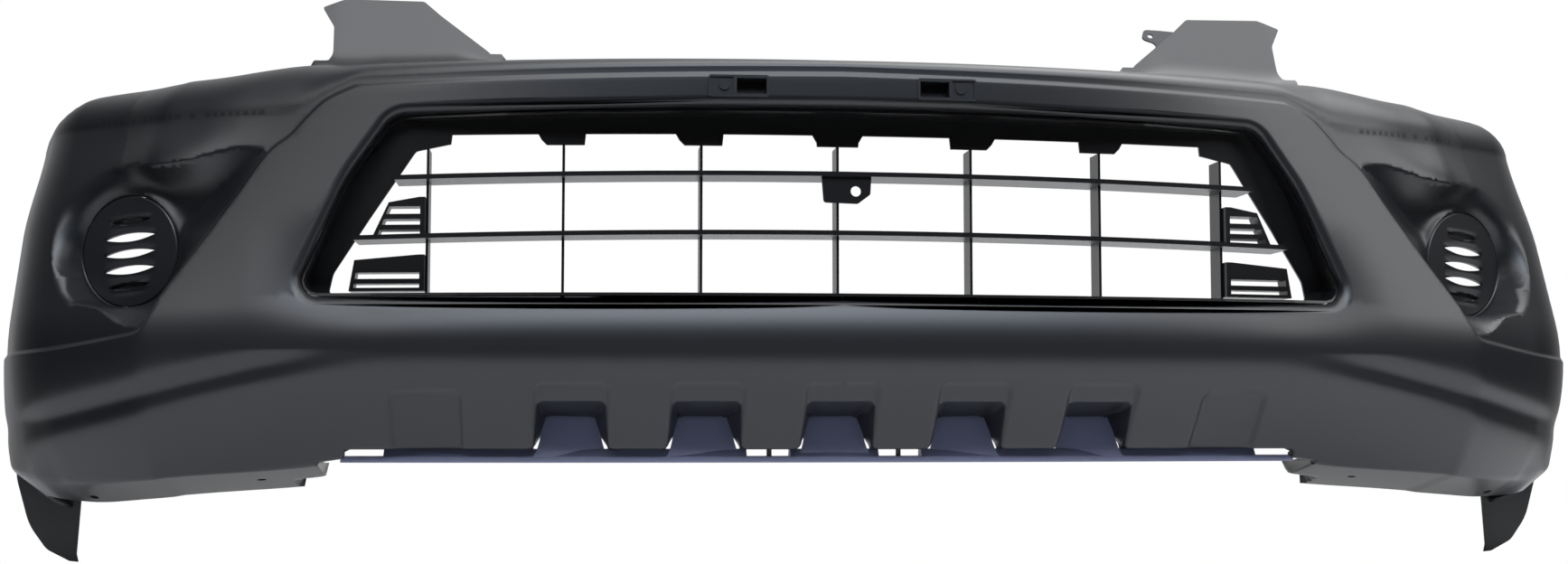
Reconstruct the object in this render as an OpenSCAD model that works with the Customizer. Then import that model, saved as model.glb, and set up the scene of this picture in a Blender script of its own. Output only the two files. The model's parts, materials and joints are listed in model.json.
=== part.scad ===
// Front bumper cover of an off-road style car: textured moulded skin, grille set,
// fog lamp blanks, licence plate sockets and a lower air guide.
// Millimetres. X across the car, +Y to the rear, +Z up. Z = 0 is at the spat tips.

/* [Skin] */
// wall thickness of the moulded skin
skin = 3; // [2.5:0.25:3.5]
// height of the step where the raised centre meets the upper corners
step_in = 3; // [2:0.5:4]
// radius of the wheel arch cut
arch_r = 375; // [365:5:385]
// depth of the arch shaped pads pressed into the lower band
pad_depth = 1.5; // [1:0.25:2]

/* [Grille] */
// thickness of the two long slats
slat_t = 4.5; // [3:0.5:6]
// depth of the two long slats
slat_depth = 50; // [40:2:52]
// thickness of the upright ribs
rib_t = 2.5; // [2:0.5:4]

/* [Fittings] */
// diameter of the screw holes in the bottom flanges
flange_hole = 9; // [7:0.5:11]
// radius of the fog lamp blanks
blank_r = 54.9; // [54:0.1:54.95]
// diameter of the plug hole in a licence plate socket
plug_hole = 8; // [7:0.25:9]

/* [Hidden] */
y_mid = 137.5;      // the shape below is drawn from the grille plane, then centred
ridge_z = 210;      // height of the foremost line
front_y = -88;      // foremost line at the centre
rear_y = 365;       // rear ends of the corners
eps = 0.05;         // running clearance of snap-in pieces
black = [0.16, 0.165, 0.17];
dark = [0.08, 0.08, 0.085];

// ---- plan curve of the foremost line: [length, turn in degrees] from the centre out
ARCS = [[650, 13], [22, 16], [104, 6], [60, 34], [270, 13]];
function arc_r_of(i) = ARCS[i][0] * 180 / (PI * ARCS[i][1]);
function arc_end(p, i) = let (r = arc_r_of(i), e = p[3] + ARCS[i][1])
    [p[0] + ARCS[i][0], p[1] + r * (sin(e) - sin(p[3])), p[2] + r * (cos(p[3]) - cos(e)), e];
function starts(i, p) = i == len(ARCS) ? [p] : concat([p], starts(i + 1, arc_end(p, i)));
STARTS = starts(0, [0, 0, front_y, 0]);
S_END = STARTS[len(ARCS)][0];
function arc_at(k, v) = min(len(ARCS) - 1, max([for (i = [0:len(ARCS) - 1]) STARTS[i][k] <= v ? i : 0]));
// [x, y, heading] at a distance s along the curve, and at a given x
function plan_s(s) = let (i = arc_at(0, s), p = STARTS[i], r = arc_r_of(i),
    e = p[3] + (s - p[0]) / r * 180 / PI)
    [p[1] + r * (sin(e) - sin(p[3])), p[2] + r * (cos(p[3]) - cos(e)), e];
function plan_x(x) = let (i = arc_at(1, x), p = STARTS[i], r = arc_r_of(i),
    e = asin(min(0.999, sin(p[3]) + (x - p[1]) / r)))
    [x, p[2] + r * (cos(p[3]) - cos(e)), e];

// ---- shape laws of the skin, all for x >= 0
function smooth(a, b, v) = let (t = max(0, min(1, (v - a) / (b - a)))) t * t * (3 - 2 * t);
function mix(a, b, t) = a + (b - a) * t;
function lean(x) = min(0.42, 0.035 + 8e-7 * x * x);
function crease_z(x) = lookup(x, [[0, 469], [456, 463], [472, 458], [490, 449], [506, 434], [522, 416],
    [540, 402], [571, 357], [603, 309], [635, 262], [657, 226], [675, 222], [772, 209.5], [860, 205]]);
function groove_z(x) = lookup(x, [[0, 205], [460, 205], [531, 196], [578, 189], [630, 170], [667, 164],
    [790, 136], [860, 130]]);
function bottom_z(s) = lookup(s, [[0, 116], [425, 116], [466, 109], [522, 99], [620, 92], [700, 86],
    [760, 83], [840, 88], [945, 102]]);
function roll_z(x) = lookup(x, [[0, 476], [456, 471], [490, 457], [506, 447], [522, 440], [560, 437],
    [700, 437], [760, 436], [860, 424]]);
function top_z(x) = lookup(x, [[0, 487], [456, 491], [520, 496], [613, 488], [698, 484], [758, 476],
    [790, 463], [860, 440]]);
function roll_run(x) = lookup(x, [[0, 34], [440, 44], [520, 70], [700, 70], [780, 34], [860, 26]]);
// how far the skin falls back under the foremost line
function tuck(x, z, s) = let (d = max(0, ridge_z - 1 - z), w = smooth(380, 700, x),
    centre = (d < 20 ? 0.017 * d * d : 0.68 * (d - 10)) + 0.0016 * d * d,
    side = 0.0026 * d * d * (1 - 0.65 * smooth(870, 940, s)))
    mix(centre, side, w) + 6 * smooth(420, 560, x) * exp(-pow((z - groove_z(x)) / 9, 2));
// hollow beside the fog lamp and the brow above it
function scoop_top(x) = lookup(x, [[540, 402], [569, 406], [593, 401], [625, 392], [662, 388], [760, 380]]);
function scoop(x, z) = let (t = scoop_top(x) - z, span = max(20, scoop_top(x) - crease_z(x) - 6))
    16 * smooth(545, 650, x) * (1 - smooth(700, 740, x)) * smooth(-6, 14, t) * (1 - smooth(0, span, t))
    - 10 * exp(-pow((x - 640) / 45, 2)) * (1 - smooth(0, 40, abs(t + 8)));

// front of the skin at an x and z, for pieces that must meet it
function front_at(ax, z) = let (x = abs(ax), p = plan_x(x),
    q = z >= ridge_z ? p : plan_x(x + sin(p[2]) * tuck(x, z, 0)))
    q[1] + (z >= ridge_z ? lean(x) * (z - ridge_z) : cos(q[2]) * tuck(q[0], z, 0))
    + (z > crease_z(x) ? step_in + scoop(x, z) : 0);

// ---- the skin as a grid of columns (along the curve) and rows (bottom to top)
HALF = [for (i = [0:8]) i * 56, 470, 490, 506, 509, 524, 540, 560, 582, 604, 626, 642, 652, 662, 672, 690,
    708, 728, 748, 762, 776, 788, 800, 812, 824, 836, 880, 930, 985, 1040, S_END];
COLS = concat([for (i = [len(HALF) - 1:-1:1]) -HALF[i]], HALF);

// one column: list of [inward, back, z] in the local frame of the curve
function column(s) = let (p = plan_s(s), x = p[0],
    z0 = bottom_z(s), zc = crease_z(x), zr = min(ridge_z, zc - 10),
    g = min(groove_z(x), zr - 22), zt = roll_z(x), l = lean(x),
    bulge = 5 * smooth(660, 780, x), back_t = l * (zt - ridge_z),
    low = [z0, mix(z0, g - 14, 0.5), g - 14, g, g + 14, (g + 14 + zr) / 2, zr],
    foot = tuck(x, z0, s), hook = smooth(850, 930, s),
    flange = s > 507 ? [foot + 22 * smooth(700, 850, s) + 38 * hook,
        (130 - p[1] - foot) * (1 - smooth(780, 850, s)), z0 - 20 - 25 * hook] : [foot + 14, 0, z0])
    concat([flange],
        [for (z = low) [tuck(x, z, s) - bulge, 0, z]],
        [for (k = [1:3]) let (z = mix(zr, zc - 3, k / 3)) [-bulge, l * max(0, z - ridge_z), z]],
        [for (k = [0:5]) let (z = mix(zc + 3, zt, k / 5))
            [step_in + scoop(x, z), l * max(0, z - ridge_z), z]],
        [for (k = [1:4]) let (a = 22.5 * k)
            [step_in + roll_run(x) * (1 - cos(a)), back_t, zt + (top_z(x) - zt) * sin(a)]],
        [let (y = p[1] + back_t + roll_run(x), far = s < 525 ? max(12, 115 - y) : 28)
            [step_in + roll_run(x), back_t + far, top_z(x) + (s < 525 ? far * 0.2 : -1)]]);
function place(s, c) = let (p = plan_s(abs(s)), x = p[0] - sin(p[2]) * c[0])
    [s < 0 ? -x : x, p[1] + cos(p[2]) * c[0] + c[1], c[2]];
GRID = [for (s = COLS) [for (c = column(abs(s))) place(s, c)]];
NC = len(GRID);
NR = len(GRID[0]);
function unit(v) = v / norm(v);
function normal(i, j) = unit(cross(GRID[min(NC - 1, i + 1)][j] - GRID[max(0, i - 1)][j],
    GRID[i][min(NR - 1, j + 1)] - GRID[i][max(0, j - 1)]));
function quad(a, b, c, d) = [[a, b, c], [a, c, d]];

module grid_shell() {
    n = NC * NR;
    outer = [for (i = [0:NC - 1]) for (j = [0:NR - 1]) GRID[i][j]];
    inner = [for (i = [0:NC - 1]) for (j = [0:NR - 1]) GRID[i][j] - skin * normal(i, j)];
    faces = [for (i = [0:NC - 2]) for (j = [0:NR - 2]) let (a = i * NR + j, b = a + NR)
            for (f = concat(quad(a, a + 1, b + 1, b), quad(n + a, n + b, n + b + 1, n + a + 1))) f];
    ends = [for (j = [0:NR - 2]) let (b = (NC - 1) * NR + j)
            for (f = concat(quad(j, n + j, n + j + 1, j + 1), quad(b, b + 1, n + b + 1, n + b))) f];
    edges = [for (i = [0:NC - 2]) let (a = i * NR, t = a + NR - 1)
            for (f = concat(quad(a, a + NR, n + a + NR, n + a), quad(t, n + t, n + t + NR, t + NR))) f];
    polyhedron(points = concat(outer, inner), faces = concat(faces, ends, edges));
}

module to_car() translate([0, -y_mid, 0]) children();
module both_sides() for (side = [-1, 1]) scale([side, 1, 1]) children();

// everything more than `deep` behind the front of the skin, over a window in x and z
module behind(deep, x0, x1, z0, z1, nx, nz, y_back = 300) {
    n = (nx + 1) * (nz + 1);
    at = [for (i = [0:nx]) for (j = [0:nz]) [mix(x0, x1, i / nx), mix(z0, z1, j / nz)]];
    front = [for (p = at) [p[0], front_at(p[0], p[1]) + deep, p[1]]];
    back = [for (p = at) [p[0], y_back, p[1]]];
    w = nz + 1;
    skins = [for (i = [0:nx - 1]) for (j = [0:nz - 1]) let (a = i * w + j, b = a + w)
            for (f = concat(quad(a, a + 1, b + 1, b), quad(n + a, n + b, n + b + 1, n + a + 1))) f];
    ends = [for (j = [0:nz - 1]) let (b = nx * w + j)
            for (f = concat(quad(j, n + j, n + j + 1, j + 1), quad(b, b + 1, n + b + 1, n + b))) f];
    edges = [for (i = [0:nx - 1]) let (a = i * w, t = a + nz)
            for (f = concat(quad(a, a + w, n + a + w, n + a), quad(t, n + t, n + t + w, t + w))) f];
    polyhedron(points = concat(front, back), faces = concat(skins, ends, edges));
}

// box whose front and rear rectangles differ: [x half width, z low, z high] at each y
module taper_box(y0, f, y1, r) {
    p = [[-f[0], y0, f[1]], [f[0], y0, f[1]], [f[0], y0, f[2]], [-f[0], y0, f[2]],
        [-r[0], y1, r[1]], [r[0], y1, r[1]], [r[0], y1, r[2]], [-r[0], y1, r[2]]];
    polyhedron(points = p, faces = [[3, 2, 1, 0], [4, 5, 6, 7], [0, 1, 5, 4], [2, 3, 7, 6],
            [1, 2, 6, 5], [3, 0, 4, 7]]);
}

// ---- outlines with rounded corners: points are [x, y, corner radius]
function flat2(p) = [p[0], p[1]];
function corner(a, p, b) = let (u = unit(flat2(a) - flat2(p)), v = unit(flat2(b) - flat2(p)),
    half = acos(u * v) / 2, c = flat2(p) + unit(u + v) * p[2] / sin(half),
    s = flat2(p) + u * p[2] / tan(half), e = flat2(p) + v * p[2] / tan(half),
    a0 = atan2(s[1] - c[1], s[0] - c[0]), d0 = atan2(e[1] - c[1], e[0] - c[0]) - a0,
    d = d0 > 180 ? d0 - 360 : d0 < -180 ? d0 + 360 : d0)
    [for (k = [0:4]) c + p[2] * [cos(a0 + d * k / 4), sin(a0 + d * k / 4)]];
function rounded(pts) = let (n = len(pts)) [for (i = [0:n - 1])
    each pts[i][2] > 0 ? corner(pts[(i + n - 1) % n], pts[i], pts[(i + 1) % n]) : [flat2(pts[i])]];
function mirrored(right) = concat(right,
    [for (i = [len(right) - 1:-1:0]) [-right[i][0], right[i][1], right[i][2]]]);

module upright(y0, y1) translate([0, y1, 0]) rotate([90, 0, 0]) linear_extrude(y1 - y0) children();

// grille opening in the skin, grown by g
module opening(g) polygon(rounded(mirrored([[513 + 1.1 * g, 259 - g, 16 + g], [466 + g, 372, 160],
    [424 + 0.8 * g, 433 + g, 26 + g], [120, 437 + g, 0]])));
// free space inside the grille surround, with a tab over every rib
rib_x = [-391, -262, -131, 0, 131, 262, 391];
tab = [[-22, 425], [-20, 406], [16, 406], [21, 411], [29, 425]];
end_tab = [[-24, 425], [-22, 407], [8, 401], [70, 385], [70, 425]];
module grille_hole() difference() {
    polygon(rounded(mirrored([[484, 264, 3], [480, 283, 20], [447, 334, 90], [404, 398, 12],
        [388, 416, 10], [140, 417, 0]])));
    for (x = rib_x) translate([x, 0]) {
        if (x >= 0) polygon(abs(x) > 390 ? end_tab : tab);
        if (x <= 0) mirror([1, 0]) polygon(abs(x) > 390 ? end_tab : tab);
    }
}
// space between two arcs of the crowned grille plane, y measured at the centre
crown_r = 2381;
crown_y = -49;
module crown(y0, y1) translate([0, crown_y + crown_r, 250]) difference() {
    cylinder(r = crown_r - y0, h = 200, $fn = 240);
    translate([0, 0, -1]) cylinder(r = crown_r - y1, h = 202, $fn = 240);
}

// ---- skin
module arch_pad(w, top, low) polygon(rounded([[-w, low, 0], [w, low, 0], [w, top, 12], [-w, top, 12]]));
notch_pitch = 126.5;
notches = [-2:2];
fog_at = [685, 82, 309];
fog_turn = 24.5;
module at_fog(side) scale([side, 1, 1]) translate(fog_at)
    rotate([0, 0, fog_turn]) rotate([90, 0, 0]) children();
plate_tilt = 2.4;
module at_socket(side) scale([side, 1, 1]) translate([99, front_at(99, 456) - 0.5, 456])
    rotate([0, 0, 2]) rotate([90 - plate_tilt, 0, 0]) children();

module horn() {
    outline = rounded([[341, -12, 0], [360, 6, 60], [392, 26, 20], [413, 70, 6], [492, 71, 8],
        [519, 59, 2], [505, 30, 18], [502, 4, 30], [540, -24, 0]]);
    translate([0, 115, 519]) rotate([60, 0, 0]) translate([0, 0, -skin])
        linear_extrude(skin) polygon(outline);
}
module spat() {
    outline = rounded([[748, 112, 0], [754, 8, 4], [752, 0, 0], [761, 1, 2], [787, 13, 20], [806, 38, 60],
        [821, 84, 60], [826, 118, 0]]);
    upright(190, 193) polygon(outline);
}
module fog_cup() intersection() {
    at_fog(1) difference() {
        union() {
            translate([0, 0, -14]) cylinder(r = 60, h = 14.1, $fn = 48);
            cylinder(r1 = 60, r2 = 81, h = 50, $fn = 48);
        }
        translate([0, 0, -11]) cylinder(r = 55, h = 12, $fn = 48);
        translate([0, 0, -15]) cylinder(r = 50, h = 12, $fn = 48);
        cylinder(r1 = 57, r2 = 78, h = 50, $fn = 48);
    }
    behind(5.4, 600, 775, 220, 395, 12, 6);
}
module pockets() intersection() {
    for (i = notches) translate([i * notch_pitch, 0, 0]) difference() {
        taper_box(-70, [33.5, 112, 164], 4, [26, 112, 152.5]);
        taper_box(-71, [31, 100, 161.5], 5, [23.5, 100, 150]);
    }
    behind(1.5, -300, 300, 100, 185, 10, 2);
}
module opening_return() difference() {
    intersection() {
        upright(-110, 90) difference() {
            opening(skin);
            opening(0);
        }
        behind(1.5, -530, 530, 240, 450, 14, 2);
    }
    behind(20, -540, 540, 235, 455, 14, 2);
}
flange_holes = [[552, 72], [719, 112]];
guide_screw_x = [-316, -190, -63, 63, 190, 316];
function lip_y(x) = -12 + 1.75e-4 * x * x;
grille_screw_x = [-262, -131, 0, 131, 262];

// the sculpted body as one mesh: the step keeps every size as it is
module one_mesh() resize([0, 0, 0]) children();

module skin_body() difference() {
    union() {
        difference() {
            union() {
                grid_shell();
                both_sides() horn();
                both_sides() spat();
            }
            upright(-130, 60) opening(0.01);
            for (i = notches) translate([i * notch_pitch - 31, -120, 100]) cube([62, 140, 61]);
            difference() {
                upright(-120, 30) {
                    for (i = notches) translate([i * notch_pitch, 0]) arch_pad(37.5, 181, 112);
                    for (x = [-388, 388]) translate([x, 0]) arch_pad(36, 174, 121);
                }
                behind(pad_depth, -440, 440, 100, 190, 16, 3);
            }
            both_sides() at_fog(1) cylinder(r1 = 57, r2 = 78, h = 50, $fn = 48);
            for (side = [-1, 1]) at_socket(side) translate([-26.7, -8.7, -14]) cube([53.4, 17.4, 20]);
            translate([-1000, 581, 133]) rotate([0, 90, 0]) cylinder(r = arch_r, h = 2000, $fn = 120);
            translate([-1000, rear_y, 0]) cube([2000, 200, 600]);
        }
        opening_return();
        pockets();
        both_sides() fog_cup();
    }
    both_sides() at_fog(1) {
        translate([0, 0, -11]) cylinder(r = 55.4, h = 61, $fn = 64);
        translate([-5, 62, -12]) cube([10, 4, 60]);
    }
}
module guide_screw_holes() for (x = guide_screw_x)
    translate([x, lip_y(x) + 8, 100]) cylinder(r = 2.6, h = 25, $fn = 24);
module grille_screw_holes() for (x = grille_screw_x)
    translate([x, front_at(x, 437) + 14, 250]) cylinder(r = 2.1, h = 195, $fn = 24);

// the skin is one moulding, drawn as four fields that meet face to face
split_x = 520;
split_z = 345;
module field(x0, x1, z0, z1) color(black) to_car() difference() {
    one_mesh() intersection() {
        skin_body();
        translate([x0, -250, z0]) cube([x1 - x0, 700, z1 - z0]);
    }
    both_sides() for (h = flange_holes)
        translate([h[0], h[1], 40]) cylinder(d = flange_hole, h = 60, $fn = 32);
    if (x0 < 0 && x1 > 0) {
        guide_screw_holes();
        grille_screw_holes();
    }
}
module skin_upper() field(-split_x, split_x, split_z, 600);
module skin_lower() field(-split_x, split_x, -1, split_z);
module skin_corner_left() field(-900, -split_x, -1, 600);
module skin_corner_right() field(split_x, 900, -1, 600);

// ---- lower air guide: lip with a hem, a low ledge with two open slots, and one ramp in every pocket
module lip_arc(y0, y1, z0, z1, x_end) intersection() {
    translate([0, lip_y(0) + 2857, z0]) difference() {
        cylinder(r = 2857 - y0, h = z1 - z0, $fn = 240);
        translate([0, 0, -1]) cylinder(r = 2857 - y1, h = z1 - z0 + 2, $fn = 240);
    }
    translate([-x_end, -60, z0]) cube([2 * x_end, 160, z1 - z0]);
}
module lower_air_guide() color(black) to_car() difference() {
    union() {
        lip_arc(0, 40, 106, 109, 448);
        lip_arc(0, 3, 103.2, 106, 448);
        difference() {
            lip_arc(4, 20.5, 109, 111.8, 430);
            both_sides() translate([43, -30, 108.5]) cube([42, 80, 8]);
        }
        for (i = notches) translate([i * notch_pitch, lip_y(i * notch_pitch) + 12, 0])
            ramp();
    }
    guide_screw_holes();
}
module ramp() polyhedron(points = [[-23.2, -9, 108], [23.2, -9, 108], [22, 5, 149], [-22, 5, 149],
        [-23.2, -6, 108], [23.2, -6, 108], [22, 8, 149], [-22, 8, 149]],
    faces = [[3, 2, 1, 0], [4, 5, 6, 7], [0, 1, 5, 4], [2, 3, 7, 6], [1, 2, 6, 5], [3, 0, 4, 7]]);

// ---- grille
module grille_surround() color(dark) to_car() {
    difference() {
        intersection() {
            upright(-110, 60) difference() {
                opening(-0.3);
                opening(-3);
            }
            behind(10, -530, 530, 240, 450, 14, 2);
        }
        translate([0, crown_y + crown_r, 200]) cylinder(r = crown_r - 17, h = 300, $fn = 240);
        grille_screw_holes();
    }
    intersection() {
        upright(-110, 60) difference() {
            opening(-2.9);
            grille_hole();
        }
        crown(14, 17);
    }
}
slat_arc = 20000;
module slat(top) intersection() {
    crown(0, slat_depth);
    upright(-110, 60) intersection() {
        grille_hole();
        translate([0, top - slat_arc]) difference() {
            circle(r = slat_arc, $fn = 1440);
            circle(r = slat_arc - slat_t, $fn = 1440);
        }
        translate([-500, top - 60]) square([1000, 80]);
    }
}
slat_tops = [380.5, 324];
module grille_slat_upper() color(dark) to_car() slat(slat_tops[0]);
module grille_slat_lower() color(dark) to_car() slat(slat_tops[1]);
module grille_ribs() color(dark) to_car() difference() {
    intersection() {
        crown(15, 44);
        upright(-110, 60) intersection() {
            grille_hole();
            for (x = rib_x) translate([x - rib_t / 2, 255]) square([rib_t, 170]);
        }
    }
    for (top = slat_tops) slat(top);
}
module grille_centre_bracket() color(dark) to_car() upright(-46, -43) difference() {
    polygon(rounded([[-17, 375.9, 0], [-15, 351, 3], [18, 350, 3], [30, 359, 3], [31, 375.9, 0]]));
    translate([16, 362]) circle(d = 10, $fn = 40);
}
// side louvre pack: z of its foot and top, x of its outer foot and shoulder, and its open rows in z
module louvre(side, foot, top, x_foot, x_top, rows) color(dark) to_car() scale([side, 1, 1]) difference() {
    intersection() {
        crown(4, 26);
        upright(-110, 60) difference() {
            polygon([[391 + rib_t / 2, foot], [x_foot, foot], [x_top, top - 5], [398, top],
                [391 + rib_t / 2, top]]);
            for (r = rows) intersection() {
                polygon([[397, foot - 1], [x_foot - 4, foot - 1], [x_top - 4, top], [397, top]]);
                translate([390, r[0]]) square([100, r[1] - r[0]]);
            }
        }
    }
    for (top = slat_tops) slat(top);
}
upper_rows = [[318, 324.3], [329, 334.5], [339.3, 346.5]];
lower_rows = [[269, 273], [277.5, 283.5]];
module louvre_upper_left() louvre(-1, 319, 355.5, 441.6, 427, upper_rows);
module louvre_upper_right() louvre(1, 319, 355.5, 441.6, 427, upper_rows);
module louvre_lower_left() louvre(-1, 266, 300.5, 464, 459, lower_rows);
module louvre_lower_right() louvre(1, 266, 300.5, 464, 459, lower_rows);

// ---- fog lamp blanks
slit_z = [-34, -18, -2, 14, 30];
module slit() intersection() {
    translate([0, 103]) circle(r = 107, $fn = 240);
    translate([0, -103]) circle(r = 107, $fn = 240);
}
module fog_blank(side) color(dark) to_car() at_fog(side) difference() {
    union() {
        translate([0, 0, -3]) cylinder(r = blank_r, h = 3, $fn = 96);
        translate([0, 0, -11 + eps]) difference() {
            cylinder(r = blank_r, h = 9, $fn = 96);
            translate([0, 0, -1]) cylinder(r = blank_r - 2.5, h = 11, $fn = 96);
        }
    }
    for (k = [0:4]) translate([0, slit_z[k], k == 0 || k == 4 ? -1.2 : -4]) rotate([0, 0, -5])
        scale([k == 0 || k == 4 ? 0.8 : 1, 1, 1]) linear_extrude(6) slit();
}
module fog_blank_left() fog_blank(-1);
module fog_blank_right() fog_blank(1);

// ---- licence plate sockets and plugs
plug_x = 13.5;
module licence_socket(side) color(dark) to_car() at_socket(side) difference() {
    union() {
        linear_extrude(2) polygon(rounded([[-28.5, -10.5, 2.5], [28.5, -10.5, 2.5],
            [28.5, 10.5, 2.5], [-28.5, 10.5, 2.5]]));
        translate([-26.3, -8.3, -12]) cube([52.6, 16.6, 12.5]);
    }
    translate([-26, -7.5, -10.5]) cube([28, 15, 20]);
    translate([5, -8.5, 0.8]) cube([21.5, 17, 5]);
    translate([plug_x, 1.5, -13]) cylinder(d = plug_hole, h = 20, $fn = 40);
}
module licence_socket_left() licence_socket(-1);
module licence_socket_right() licence_socket(1);
module licence_plug(side) color(dark) to_car() at_socket(side) translate([plug_x, 1.5, 0]) {
    translate([0, 0, 0.8]) cylinder(d = 11, h = 1.4, $fn = 40);
    translate([0, 0, -9]) cylinder(d = plug_hole - 2 * eps, h = 10, $fn = 40);
}
module licence_plug_left() licence_plug(-1);
module licence_plug_right() licence_plug(1);

// ---- horn bracket and screws
module horn_bracket() color(dark) to_car() translate([0, 115, 519])
    rotate([60, 0, 0]) translate([0, 0, -skin - 2]) linear_extrude(2) difference() {
        polygon(rounded([[420, 20, 2], [366, 8, 3], [358, 18, 4], [374, 36, 6], [356, 44, 5],
            [360, 57, 5], [378, 56, 6], [420, 52, 2]]));
        translate([366, 48]) circle(d = 6, $fn = 32);
    }
module screw(shank, head, long) {
    cylinder(d = shank, h = long, $fn = 24);
    translate([0, 0, -2.5]) cylinder(d = head, h = 2.5, $fn = 24);
}
module grille_screws() color(dark) to_car() for (x = grille_screw_x) {
    translate([x, front_at(x, 437) + 14, 441]) rotate([180, 0, 0]) screw(4, 9, 7.5);
    translate([x, front_at(x, 437) + 14, 255]) screw(4, 9, 7.5);
}
module air_guide_screws() color(dark) to_car() for (x = guide_screw_x)
    translate([x, lip_y(x) + 8, 106]) screw(5, 9, 15);

skin_upper();
skin_lower();
skin_corner_left();
skin_corner_right();
lower_air_guide();
grille_surround();
grille_slat_upper();
grille_slat_lower();
grille_ribs();
grille_centre_bracket();
louvre_upper_left();
louvre_upper_right();
louvre_lower_left();
louvre_lower_right();
fog_blank_left();
fog_blank_right();
licence_socket_left();
licence_socket_right();
licence_plug_left();
licence_plug_right();
horn_bracket();
grille_screws();
air_guide_screws();
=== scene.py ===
"""Looks of the front bumper cover: a fine grained black shell, glossy grille set and snap-in fittings."""

import json
import math

import bmesh
import bpy
import numpy as np
from mathutils import Matrix, Vector
from mathutils.geometry import delaunay_2d_cdt

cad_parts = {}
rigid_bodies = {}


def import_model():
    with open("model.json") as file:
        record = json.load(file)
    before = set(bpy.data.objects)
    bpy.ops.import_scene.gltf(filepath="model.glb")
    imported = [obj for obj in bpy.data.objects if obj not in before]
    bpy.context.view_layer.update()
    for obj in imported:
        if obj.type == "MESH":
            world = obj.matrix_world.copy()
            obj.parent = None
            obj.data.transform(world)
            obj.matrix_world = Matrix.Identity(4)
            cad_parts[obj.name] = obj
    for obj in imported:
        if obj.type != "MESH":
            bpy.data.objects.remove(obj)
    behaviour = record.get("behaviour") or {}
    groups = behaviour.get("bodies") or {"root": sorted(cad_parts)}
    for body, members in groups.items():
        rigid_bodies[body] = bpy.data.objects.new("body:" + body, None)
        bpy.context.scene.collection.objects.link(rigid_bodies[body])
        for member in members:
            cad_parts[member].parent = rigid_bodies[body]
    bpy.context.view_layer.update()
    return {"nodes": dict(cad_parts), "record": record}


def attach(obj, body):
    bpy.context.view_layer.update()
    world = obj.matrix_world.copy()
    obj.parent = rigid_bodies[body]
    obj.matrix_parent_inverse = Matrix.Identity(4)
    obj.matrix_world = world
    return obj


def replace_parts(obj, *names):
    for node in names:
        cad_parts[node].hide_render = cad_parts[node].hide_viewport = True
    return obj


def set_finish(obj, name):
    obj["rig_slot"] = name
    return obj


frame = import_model()

# All shapes below are worked out in millimetres, with Y = NOSE_Y at the foremost point of the plan
# curve, and moved to the CAD frame by to_car().
Y_MID = 137.5
NOSE_Y = -88.0
RIDGE_Z = 210.0  # height of the foremost line
STEP_IN = 3.0  # how far the skin above the crease stands back
SKIN_T = 2.8
ARCS = ((650, 13), (22, 16), (104, 6), (60, 34), (270, 13))  # plan curve: length, turn in degrees
S_END = float(sum(a[0] for a in ARCS))


def to_car(points):
    return (np.asarray(points, float) - (0, Y_MID, 0)) / 1000


# ---------------------------------------------------------------- shape laws shared by every piece
def smooth(a, b, v):
    """Smooth step of v from 0 at a to 1 at b; a may be the larger one."""
    t = np.clip((v - a) / (b - a), 0, 1)
    return t * t * (3 - 2 * t)


def table(x, pairs):
    """Smooth curve through (x, value) pairs, flat beyond both ends."""
    xs, ys = (np.array(c, float) for c in zip(*pairs))
    rate = np.diff(ys) / np.diff(xs)
    both = rate[:-1] * rate[1:]
    inner = np.where(both > 0, 2 * both / np.where(both > 0, rate[:-1] + rate[1:], 1), 0)
    slopes = np.concatenate((rate[:1], inner, rate[-1:]))
    x = np.clip(x, xs[0], xs[-1])
    i = np.clip(np.searchsorted(xs, x) - 1, 0, len(xs) - 2)
    w = xs[i + 1] - xs[i]
    t = (x - xs[i]) / w
    rise = ys[i + 1] - ys[i]
    return (ys[i] + t * t * (3 - 2 * t) * rise + t * (1 - t) ** 2 * w * slopes[i]
            - t * t * (1 - t) * w * slopes[i + 1])


def mix(a, b, t):
    """The value a share t of the way from a to b."""
    return a + (b - a) * t


def plan(s):
    """Point and heading of the plan curve at distance s from the centre."""
    s = np.asarray(s, float)
    x, y, h, left = np.zeros_like(s), np.full_like(s, NOSE_Y), np.zeros_like(s), s.copy()
    for length, turn in ARCS:
        run = np.clip(left, 0, length)
        r = length / math.radians(turn)
        e = h + run / r
        x, y, h = x + r * (np.sin(e) - np.sin(h)), y + r * (np.cos(h) - np.cos(e)), e
        left = left - run
    return x, y, h


S_FINE = np.linspace(0, S_END, 4001)
X_FINE = plan(S_FINE)[0]


def lean(x):
    """Backward slope of the face above the foremost line."""
    return np.minimum(0.42, 0.035 + 8e-7 * x * x)


def crease_z(x):
    """Height of the crease that frames the grille and runs out to the corner."""
    return table(x, ((0, 469), (456, 463), (472, 458), (490, 449), (506, 434), (522, 416), (540, 402),
                     (571, 357), (603, 309), (635, 262), (657, 226), (675, 222), (772, 209.5), (860, 205)))


def groove_z(x):
    """Height of the groove under the foremost line on the corners."""
    return table(x, ((0, 205), (460, 204), (531, 195), (600, 181), (667, 165), (790, 139), (860, 128)))


def bottom_z(s):
    """Height of the bottom edge."""
    return table(s, ((0, 116), (425, 116), (466, 109), (522, 99), (620, 92), (700, 86), (760, 83),
                     (840, 88), (945, 102)))


def roll_z(x):
    """Height where the front starts to roll over into the shelf."""
    return table(x, ((0, 476), (456, 471), (490, 457), (506, 447), (522, 440), (560, 437), (700, 437),
                     (760, 436), (860, 424)))


def top_z(x):
    """Height of the shelf where the roll ends."""
    return table(x, ((0, 487), (456, 491), (520, 496), (613, 488), (698, 484), (758, 476), (790, 463),
                     (860, 440)))


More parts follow.
